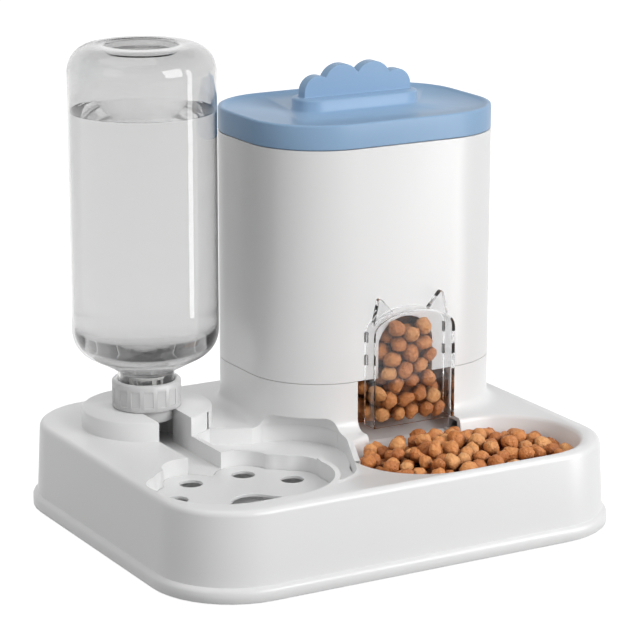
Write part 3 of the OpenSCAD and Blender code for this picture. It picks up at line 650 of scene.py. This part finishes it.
# %% Water
water_low, water_high = (Vector(corner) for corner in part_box("water"))
water_gap = 0.05 * MM
creep_h = 1 * MM
wet = [(r, z) for r, z in bottle_wall(wall_t + water_gap, water_low.z) if z < water_high.z - creep_h]
top_r = body_r - wall_t - water_gap
surface = [(top_r, water_high.z - 0.4 * MM), (top_r, water_high.z),
    (top_r - 0.8 * MM, water_high.z - 0.5 * MM), (top_r - 2.5 * MM, water_high.z - 0.9 * MM),
    (0, water_high.z - creep_h)]
water = turned("water_body", [(0, water_low.z)] + wet + surface)
paint(water, water_look)
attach(water, "bottle")
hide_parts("water")
water.visible_shadow = False
print("water", len(water.data.polygons), "faces")

# %% [markdown]
# ## A heap of food
# Food falls into place piece by piece. The same can be done here: each new piece looks for
# the lowest spot among a few random ones, given the pieces that already lie there. That
# makes a natural heap without a physics run, and a fixed seed makes it the same each time.

# %% A heap, piece by piece
PIECE_R = 5.2 * MM
smallest, largest = 0.88, 1.06
nearness = 0.96


def settle(count, seed, spot, floor_z, fits, tries=60):
    """Lets pieces drop one by one; returns rows of x, y, z, radius.
    spot gives a random place, floor_z what lies below it, and fits says if a piece may stay."""
    dice = np.random.default_rng(seed)
    placed = np.empty((0, 4))
    for _ in range(count):
        radius = PIECE_R * dice.uniform(smallest, largest)
        best = None
        for _ in range(tries):
            x, y = spot(dice)
            z = floor_z(x, y) + radius
            if len(placed):
                reach = (placed[:, 3] + radius) * nearness
                gap = reach ** 2 - (placed[:, 0] - x) ** 2 - (placed[:, 1] - y) ** 2
                near = gap > 0
                if near.any():
                    z = max(z, (placed[near, 2] + np.sqrt(gap[near])).max())
            score = fits(x, y, z, radius)
            if score is not None and (best is None or score < best[0]):
                best = (score, x, y, z)
        if best:
            placed = np.vstack([placed, [*best[1:], radius]])
    return placed


# %% Places in the bowl
bowl_mid = Vector((60.0, -72.0, 0)) * MM
bowl_half_w, bowl_half_d = 75 * MM, 44 * MM
bowl_wall_t = 2.6 * MM
heap_mid = Vector((40.0, -70.0, 0)) * MM
heap_w, heap_d = 93 * MM, 52.8 * MM
heap_low, heap_peak = 46.0 * MM, 10.5 * MM
heap_fall = 1.1
pile_depth = 17 * MM
may_stick_out = 3 * MM


def heap_top(x, y):
    """Where the tops of the pieces should lie in the bowl."""
    u, v = (x - heap_mid.x) / heap_w, (y - heap_mid.y) / heap_d
    return heap_low + heap_peak * (1 - heap_fall * (u * u + v * v))


def from_bowl_axis(x, y):
    """Distance from the straight line down the middle of the bowl's stadium."""
    straight = bowl_half_w - bowl_half_d
    return sqrt(max(abs(x - bowl_mid.x) - straight, 0) ** 2 + (y - bowl_mid.y) ** 2)


def off_side_wall(x, y):
    """Distance from the pool's side of the wall between the drip step and the bowl."""
    return ((x - side_wall_from[0] * MM) * side_wall_turn[0]
        + (y - side_wall_from[1] * MM) * side_wall_turn[1])


def bowl_spot(dice):
    """A random place in the bowl."""
    while True:
        x = bowl_mid.x + dice.uniform(-1, 1) * bowl_half_w
        y = bowl_mid.y + dice.uniform(-1, 1) * bowl_half_d
        if (from_bowl_axis(x, y) < bowl_half_d - bowl_wall_t - PIECE_R
                and off_side_wall(x, y) > side_wall_t * MM + PIECE_R):
            return x, y


def bowl_fits(x, y, z, r):
    """Pieces well below the heap's top are best, and none sticks out far."""
    return z - heap_top(x, y) if z + r < heap_top(x, y) + may_stick_out else None


bowl_pieces = settle(330, 7, bowl_spot, lambda x, y: heap_top(x, y) - pile_depth, bowl_fits)
print("bowl:", len(bowl_pieces), "pieces, up to", round(bowl_pieces[:, 2].max() / MM, 1), "mm")

# %% [markdown]
# ## Food in the outlet
# Behind the cover the food fills an arch: as wide as the bin's outlet above the seam, and
# wider below it. The pieces drop into that slot in the same way, in four layers from the
# front to the back, so that no gap between them shows an empty bin.

# %% Places behind the cover
outlet_half, stub_half = 19 * MM, 26.4 * MM
arch_spring_z = seam_z + 20.5 * MM
arch_h, arch_bulge = 17 * MM, 2.6
food_top_z = seam_z + 36.5 * MM
slot_floor_z = cover_low.z + 0.4 * MM
snugness = 0.95
layers = {
    "front": (-5.0, -3.2, 31),
    "second": (3.0, 6.0, 32),
    "third": (11.0, 14.0, 33),
    "back": (19.0, 22.0, 34),
}


def half_width_at(z):
    """Half the width that the food has at a height."""
    if z < seam_z - PIECE_R:
        return stub_half
    rise = max(z - arch_spring_z, 0) / arch_h
    return outlet_half * sqrt(max(1 - rise ** arch_bulge, 0))


def outlet_fits(x, y, z, r):
    """Low places are best, inside the arch."""
    if z + r > food_top_z or abs(x - bin_mid_x) + r * snugness > half_width_at(z + r * 0.5):
        return None
    return z


def layer_spot(front, back):
    """Gives random places in a layer, between two depths in millimetres behind the bin's front."""
    return lambda dice: (bin_mid_x + dice.uniform(-1, 1) * (stub_half - PIECE_R * snugness),
        bin_front_y + dice.uniform(front, back) * MM)


outlet_pieces = np.vstack([
    settle(60, seed, layer_spot(front, back), lambda x, y: slot_floor_z, outlet_fits, tries=160)
    for front, back, seed in layers.values()])
print("outlet:", len(outlet_pieces), "pieces, up to", round(outlet_pieces[:, 2].max() / MM, 1), "mm")

# %% [markdown]
# ## One node tree for all the food
# The settled places are only points. Geometry Nodes puts a low, round mesh on each, turns
# and squashes it at random, joins them all, and pushes the surface in and out with noise, so
# that no two pieces are alike. The tree takes its sizes as named inputs.

# %% Balls on the points
def random_value(tree, given, kind):
    """A random value for each point, from the tree's own seed."""
    node = tree.nodes.new("FunctionNodeRandomValue")
    node.data_type = kind
    link(tree, given.outputs["Seed"], node.inputs["Seed"])
    return node


def scattered_balls(tree, given):
    """A turned and squashed ball on each point, with a tone of its own; returns the geometry."""
    ball = tree.nodes.new("GeometryNodeMeshIcoSphere")
    ball.inputs["Radius"].default_value = 1.0
    ball.inputs["Subdivisions"].default_value = 2
    size = tree.nodes.new("GeometryNodeInputNamedAttribute")
    size.data_type = "FLOAT"
    size.inputs["Name"].default_value = "size"

    shape = random_value(tree, given, "FLOAT_VECTOR")
    for name, operation in (("Min", "SUBTRACT"), ("Max", "ADD")):
        limit = tree.nodes.new("ShaderNodeCombineXYZ")
        for axis in limit.inputs:
            link(tree, calculate(tree, operation, 1.0, given.outputs["Squash"]), axis)
        link(tree, limit.outputs[0], shape.inputs[name])
    scale = tree.nodes.new("ShaderNodeVectorMath")
    scale.operation = "SCALE"
    link(tree, shape.outputs["Value"], scale.inputs["Vector"])
    link(tree, size.outputs["Attribute"], scale.inputs["Scale"])
    turn = random_value(tree, given, "FLOAT_VECTOR")
    turn.inputs["Max"].default_value = (2 * pi, 2 * pi, 2 * pi)

    place = tree.nodes.new("GeometryNodeInstanceOnPoints")
    link(tree, given.outputs["Points"], place.inputs["Points"])
    link(tree, ball.outputs["Mesh"], place.inputs["Instance"])
    link(tree, turn.outputs["Value"], place.inputs["Rotation"])
    link(tree, scale.outputs["Vector"], place.inputs["Scale"])
    store = tree.nodes.new("GeometryNodeStoreNamedAttribute")
    store.data_type = "FLOAT"
    store.domain = "INSTANCE"
    store.inputs["Name"].default_value = "tone"
    link(tree, place.outputs["Instances"], store.inputs["Geometry"])
    link(tree, random_value(tree, given, "FLOAT").outputs[1], store.inputs["Value"])
    return store.outputs["Geometry"]


# %% Lumps in their surface
NOISE_MEAN = 0.52


def lumpy(tree, given, geometry):
    """Pushes the surface in and out with noise; returns the geometry."""
    lumps = tree.nodes.new("ShaderNodeTexNoise")
    lumps.inputs["Detail"].default_value = 1.5
    link(tree, calculate(tree, "DIVIDE", 0.5, given.outputs["Lump size"]), lumps.inputs["Scale"])
    centred = calculate(tree, "SUBTRACT", lumps.outputs["Fac"], NOISE_MEAN)
    height = calculate(tree, "MULTIPLY", centred, given.outputs["Lump height"])
    outward = tree.nodes.new("ShaderNodeVectorMath")
    outward.operation = "SCALE"
    link(tree, tree.nodes.new("GeometryNodeInputNormal").outputs["Normal"], outward.inputs["Vector"])
    link(tree, height, outward.inputs["Scale"])
    push = tree.nodes.new("GeometryNodeSetPosition")
    link(tree, geometry, push.inputs["Geometry"])
    link(tree, outward.outputs["Vector"], push.inputs["Offset"])
    return push.outputs["Geometry"]


# %% The food tree
def food_tree():
    """Points in, lumpy pieces of food out."""
    tree = bpy.data.node_groups.new("food_pieces", "GeometryNodeTree")
    face = tree.interface
    face.new_socket("Points", in_out="INPUT", socket_type="NodeSocketGeometry")
    for name, value in (("Squash", 0.17), ("Lump size", 0.0036), ("Lump height", 0.0062)):
        face.new_socket(name, in_out="INPUT", socket_type="NodeSocketFloat").default_value = value
    face.new_socket("Seed", in_out="INPUT", socket_type="NodeSocketInt").default_value = 3
    face.new_socket("Finish", in_out="INPUT", socket_type="NodeSocketMaterial")
    face.new_socket("Pieces", in_out="OUTPUT", socket_type="NodeSocketGeometry")
    given = tree.nodes.new("NodeGroupInput")
    result = tree.nodes.new("NodeGroupOutput")

    real = tree.nodes.new("GeometryNodeRealizeInstances")
    link(tree, scattered_balls(tree, given), real.inputs["Geometry"])
    smooth = tree.nodes.new("GeometryNodeSetShadeSmooth")
    link(tree, lumpy(tree, given, real.outputs["Geometry"]), smooth.inputs["Geometry"])
    finish = tree.nodes.new("GeometryNodeSetMaterial")
    link(tree, smooth.outputs["Geometry"], finish.inputs["Geometry"])
    link(tree, given.outputs["Finish"], finish.inputs["Material"])
    link(tree, finish.outputs["Geometry"], result.inputs["Pieces"])
    return tree


food = food_tree()
print("food tree:", len(food.nodes), "nodes")


# %% Grow the pieces
def grown(name, tree, carrier, **values):
    """Runs a node tree on a carrier mesh and returns the result as a plain piece."""
    modifier = carrier.modifiers.new(name, "NODES")
    modifier.node_group = tree
    sockets = {item.name: item.identifier for item in tree.interface.items_tree
        if item.in_out == "INPUT"}
    for label, value in values.items():
        modifier[sockets[label.replace("_", " ")]] = value
    bpy.context.view_layer.update()
    made = bpy.data.meshes.new_from_object(carrier.evaluated_get(bpy.context.evaluated_depsgraph_get()))
    carrier.modifiers.clear()
    bpy.data.objects.remove(carrier)
    return new_piece(name, made)


def point_carrier(name, rows):
    """A mesh of loose points that carries each piece's size."""
    mesh = bpy.data.meshes.new(name)
    mesh.from_pydata([tuple(row[:3]) for row in rows], [], [])
    size = mesh.attributes.new("size", "FLOAT", "POINT")
    for i, row in enumerate(rows):
        size.data[i].value = row[3]
    return new_piece(name, mesh)


bowl_kibble = grown("bowl_kibble", food, point_carrier("bowl_points", bowl_pieces),
    Seed=5, Finish=dry_food)
outlet_kibble = grown("outlet_kibble", food, point_carrier("outlet_points", outlet_pieces),
    Seed=21, Finish=dry_food)
print("bowl", len(bowl_kibble.data.polygons), "faces; outlet", len(outlet_kibble.data.polygons))

# %% [markdown]
# ## What lies under the pieces
# Only the outer layers of the food are made piece by piece. Below them lies the bulk: the
# solid from the frame, lowered and cut at the side wall in the bowl, and cut back behind the
# outlet's four layers.

# %% Cuts and joins
def cut_away(mesh, point, towards):
    """Cuts off what lies beyond a plane, on the side it faces, and closes the cut."""
    work = bmesh.new()
    work.from_mesh(mesh)
    bmesh.ops.bisect_plane(work, geom=work.verts[:] + work.edges[:] + work.faces[:],
        plane_co=point, plane_no=towards, clear_outer=True)
    bmesh.ops.holes_fill(work, edges=[edge for edge in work.edges if edge.is_boundary])
    work.to_mesh(mesh)
    work.free()


def join_pieces(main, other):
    """Joins the other piece into the first one."""
    bpy.ops.object.select_all(action="DESELECT")
    main.select_set(True)
    other.select_set(True)
    bpy.context.view_layer.objects.active = main
    bpy.ops.object.join()


# %% Food in the bowl
bulk_drop = 9 * MM
bowl_bulk = merged_copy("bowl_food", "bowl_bulk")
cut_away(bowl_bulk.data, (side_wall_from[0] * MM + 1 * MM, side_wall_from[1] * MM, 0),
    (-side_wall_turn[0], -side_wall_turn[1], 0))
for vert in bowl_bulk.data.vertices:
    vert.co.z = min(vert.co.z, heap_top(vert.co.x, vert.co.y) - bulk_drop)
paint(bowl_bulk, dry_food)
join_pieces(bowl_kibble, bowl_bulk)
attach(bowl_kibble, "base")
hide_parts("bowl_food")
print("bowl:", len(bowl_kibble.data.polygons), "faces with the bulk")

# %% Food in the bin
bulk_in = 24 * MM
bin_bulk = merged_copy("bin_food", "bin_bulk")
cut_away(bin_bulk.data, (0, bin_front_y + bulk_in, 0), (0, -1, 0))
paint(bin_bulk, dry_food)
join_pieces(outlet_kibble, bin_bulk)
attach(outlet_kibble, "base")
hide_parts("bin_food")
print("bin:", len(outlet_kibble.data.polygons), "faces with the bulk")
